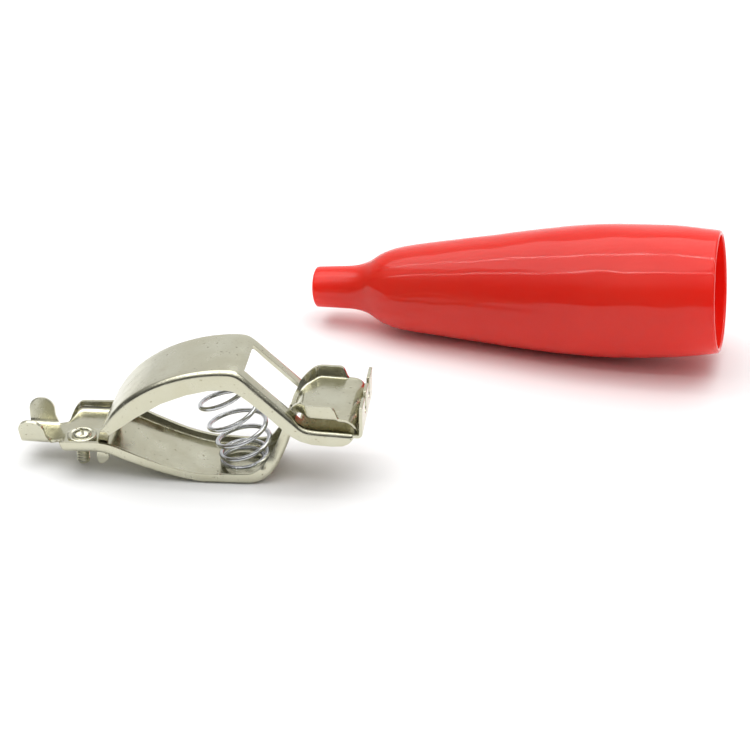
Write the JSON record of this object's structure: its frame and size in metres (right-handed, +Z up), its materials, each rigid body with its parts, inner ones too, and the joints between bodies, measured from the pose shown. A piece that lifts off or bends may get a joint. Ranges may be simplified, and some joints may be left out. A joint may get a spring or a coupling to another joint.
{
  "type": "alligator clip with insulating boot",
  "caption": "Sprung sheet-metal test clip with crossed arms, a wire screw and crimp ears at its tail, and a loose tapered sleeve that slips over it.",
  "frame": {"origin": "centre of the whole set's box, at the surface it lies on", "axes": "+X along the clip from crimp ears to jaws, +Y across the clip towards the boot, +Z up"},
  "size_m": [0.1026, 0.0584, 0.0223],
  "materials": {
    "nickel_plate": "bright nickel plate on stamped steel",
    "spring_wire": "bright drawn spring wire",
    "screw_metal": "bright plated screw",
    "red_vinyl": "soft glossy dip-moulded vinyl"
  },
  "bodies": {
    "lower_arm": {"lower_arm": "nickel_plate", "spring": "spring_wire"},
    "upper_arm": {"upper_arm": "nickel_plate"},
    "wire_screw": {"wire_screw": "screw_metal"},
    "boot": {"insulating_boot": "red_vinyl"}
  },
  "joints": [
    {"name": "jaw_hinge", "type": "hinge", "parent": "lower_arm", "child": "upper_arm", "pos_m": [-0.03841, -0.02294, 0.004], "axis": [0, 1, 0], "range_deg": [0, 12], "stiffness_Nm_per_rad": 0.03, "springref_deg": -28.65, "deforming": ["spring"]},
    {"name": "screw_turn", "type": "hinge", "parent": "lower_arm", "child": "wire_screw", "pos_m": [-0.04216, -0.02534, 0.0045], "axis": [0, 0, 1], "range_deg": [0, 720]},
    {"name": "boot_slide", "type": "slide", "parent": "lower_arm", "child": "boot", "axis": [0.9916, -0.1296, 0], "range_m": [-0.02, 0.05]}
  ]
}
